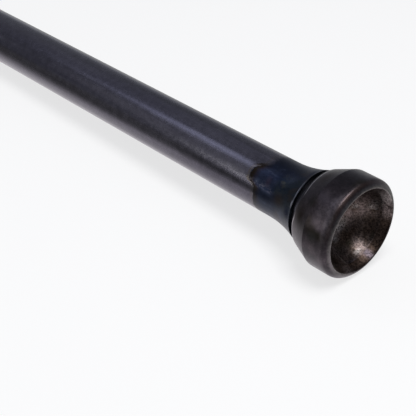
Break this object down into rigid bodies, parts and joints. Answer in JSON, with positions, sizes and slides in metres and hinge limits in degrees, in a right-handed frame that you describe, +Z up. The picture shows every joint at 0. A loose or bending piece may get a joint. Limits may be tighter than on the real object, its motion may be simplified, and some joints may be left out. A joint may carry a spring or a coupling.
{
  "type": "engine pushrod",
  "caption": "Steel engine pushrod: a tube whose flared end carries a turned cup with a spherical seat, and a ball end on the other side, lying on its side.",
  "frame": {"origin": "middle of the lying rod, on the surface that it lies on", "axes": "+X towards the cup's mouth, along the rod (the rod's axis rises towards the mouth by 0.92 degrees, because the barrel is wider than the ball), +Y to the side, +Z up"},
  "size_m": [0.2802, 0.0214, 0.0214],
  "materials": {
    "cup_steel": "hardened steel with a matte brown-grey phosphate coat, pitted in the seat",
    "tube_steel": "dark drawn steel tube, heat-tinted blue and straw at the flared end",
    "ball_steel": "ground and hardened steel"
  },
  "bodies": {
    "root": {"cup_end": "cup_steel", "push_tube": "tube_steel", "ball_end": "ball_steel"}
  },
  "joints": []
}
